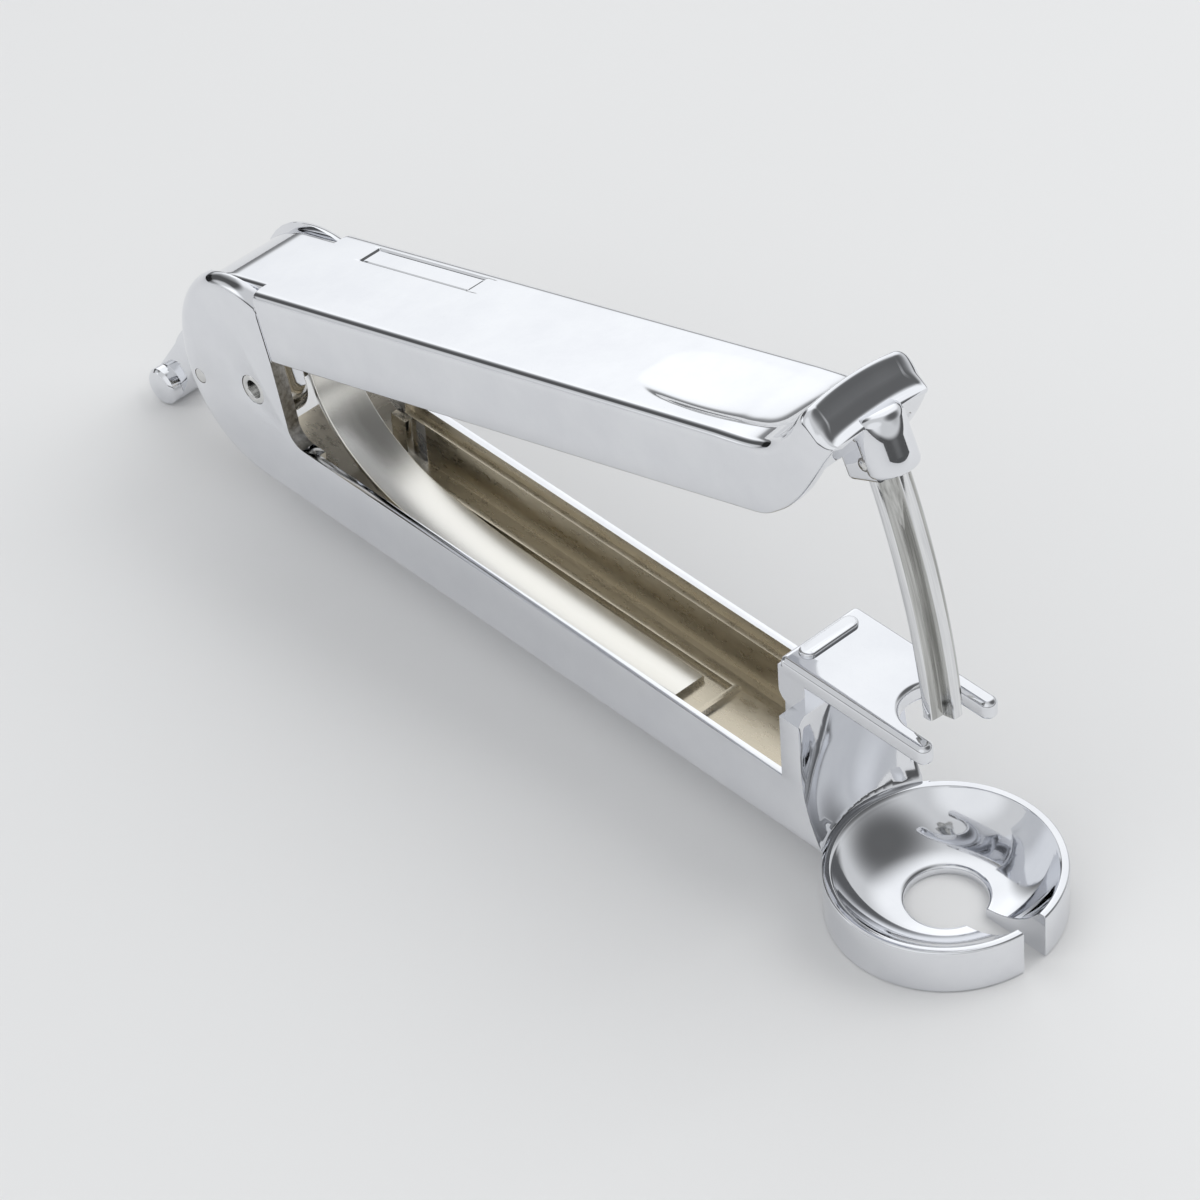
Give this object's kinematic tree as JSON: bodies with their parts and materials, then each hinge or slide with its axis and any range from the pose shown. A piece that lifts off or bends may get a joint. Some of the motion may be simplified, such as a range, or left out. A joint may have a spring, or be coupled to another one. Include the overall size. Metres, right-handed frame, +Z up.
{
  "type": "lever cherry pitter",
  "caption": "Hand cherry pitter: sprung lever pushes a fluted curved plunger through a stripper notch into a slotted cup ring; rear swing catch with cross peg.",
  "frame": {"origin": "centre of the stone outlet in the cup ring, on the plane of the table the ring stands on", "axes": "+Z up out of the cup, +X along the handle from the hinge to the cup ring, +Y across the handle"},
  "size_m": [0.1712, 0.032, 0.0806],
  "materials": {
    "base_chrome": "bright chromed zinc casting, duller inside",
    "lever_chrome": "bright chromed zinc casting",
    "plate_chrome": "bright chrome",
    "lock_chrome": "bright chrome",
    "plunger_steel": "polished stainless steel",
    "pin_steel": "turned steel",
    "spring_steel": "satin spring steel"
  },
  "bodies": {
    "base": {"base_casting": "base_chrome", "hinge_pin": "pin_steel", "leaf_spring": "spring_steel", "stripper_plate": "plate_chrome", "lock_pin": "pin_steel"},
    "lever": {"lever_casting": "lever_chrome", "plunger": "plunger_steel", "plunger_pin": "pin_steel"},
    "lock": {"lock_lever": "lock_chrome"}
  },
  "joints": [
    {"name": "lever_hinge", "type": "hinge", "parent": "base", "child": "lever", "pos_m": [-0.1237, 0, 0.0219], "axis": [0, 1, 0], "range_deg": [0, 17.4], "stiffness_Nm_per_rad": 0.75, "springref_deg": -25.78, "deforming": ["leaf_spring"]},
    {"name": "lock_pivot", "type": "hinge", "parent": "base", "child": "lock", "pos_m": [-0.1355, 0, 0.0177], "axis": [0, 1, 0], "range_deg": [0, 25]}
  ]
}
